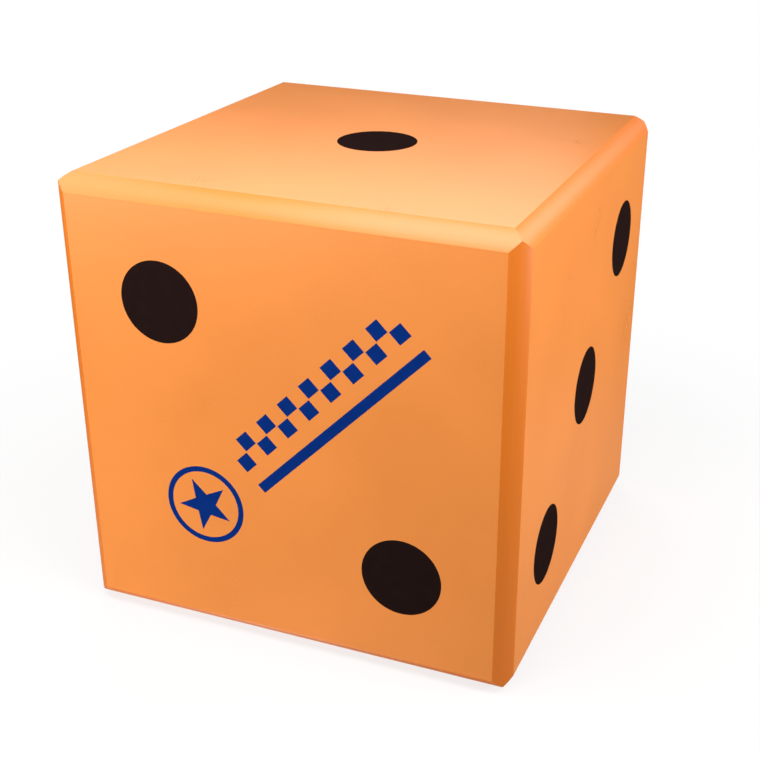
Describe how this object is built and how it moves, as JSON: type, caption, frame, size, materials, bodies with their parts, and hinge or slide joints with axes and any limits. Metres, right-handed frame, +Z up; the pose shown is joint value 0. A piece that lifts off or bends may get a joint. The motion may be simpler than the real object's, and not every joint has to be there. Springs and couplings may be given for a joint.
{
  "type": "giant yard die",
  "caption": "Oversized cube-shaped yard die with flush round pips, crowned bevelled edges and a star badge decal, built as flat panels on a screwed frame of edge rails.",
  "frame": {"origin": "middle of the face that the die rests on", "axes": "+Z up; the front, with two pips and the decal, looks towards -Y; the face with three pips looks towards +X"},
  "size_m": [0.406, 0.406, 0.406],
  "materials": {
    "panel_board": "satin orange board",
    "edge_rail": "satin orange extrusion",
    "pip_black": "satin black disc",
    "decal_blue": "satin blue decal",
    "bracket_plastic": "moulded, fine texture",
    "bonding_tape": "foam tape",
    "screw_steel": "zinc plated"
  },
  "bodies": {
    "root": {"panel_top": "panel_board", "panel_bottom": "panel_board", "panel_front": "panel_board", "panel_back": "panel_board", "panel_right": "panel_board", "panel_left": "panel_board", "rail_top_front": "edge_rail", "rail_top_back": "edge_rail", "rail_top_right": "edge_rail", "rail_top_left": "edge_rail", "rail_bottom_front": "edge_rail", "rail_bottom_back": "edge_rail", "rail_bottom_right": "edge_rail", "rail_bottom_left": "edge_rail", "rail_front_right": "edge_rail", "rail_front_left": "edge_rail", "rail_back_right": "edge_rail", "rail_back_left": "edge_rail", "corner_bracket_top_front_right": "bracket_plastic", "corner_bracket_top_front_left": "bracket_plastic", "corner_bracket_top_back_right": "bracket_plastic", "corner_bracket_top_back_left": "bracket_plastic", "corner_bracket_bottom_front_right": "bracket_plastic", "corner_bracket_bottom_front_left": "bracket_plastic", "corner_bracket_bottom_back_right": "bracket_plastic", "corner_bracket_bottom_back_left": "bracket_plastic", "tape_top": "bonding_tape", "tape_bottom": "bonding_tape", "tape_front": "bonding_tape", "tape_back": "bonding_tape", "tape_right": "bonding_tape", "tape_left": "bonding_tape", "rail_screws_top": "screw_steel", "rail_screws_bottom": "screw_steel", "rail_screws_front": "screw_steel", "rail_screws_back": "screw_steel", "rail_screws_right": "screw_steel", "rail_screws_left": "screw_steel", "pip_top_one": "pip_black", "pips_front_two": "pip_black", "pips_right_three": "pip_black", "pips_left_four": "pip_black", "pips_back_five": "pip_black", "pips_bottom_six": "pip_black", "decal_star_badge": "decal_blue", "decal_checker_band": "decal_blue"}
  },
  "joints": []
}
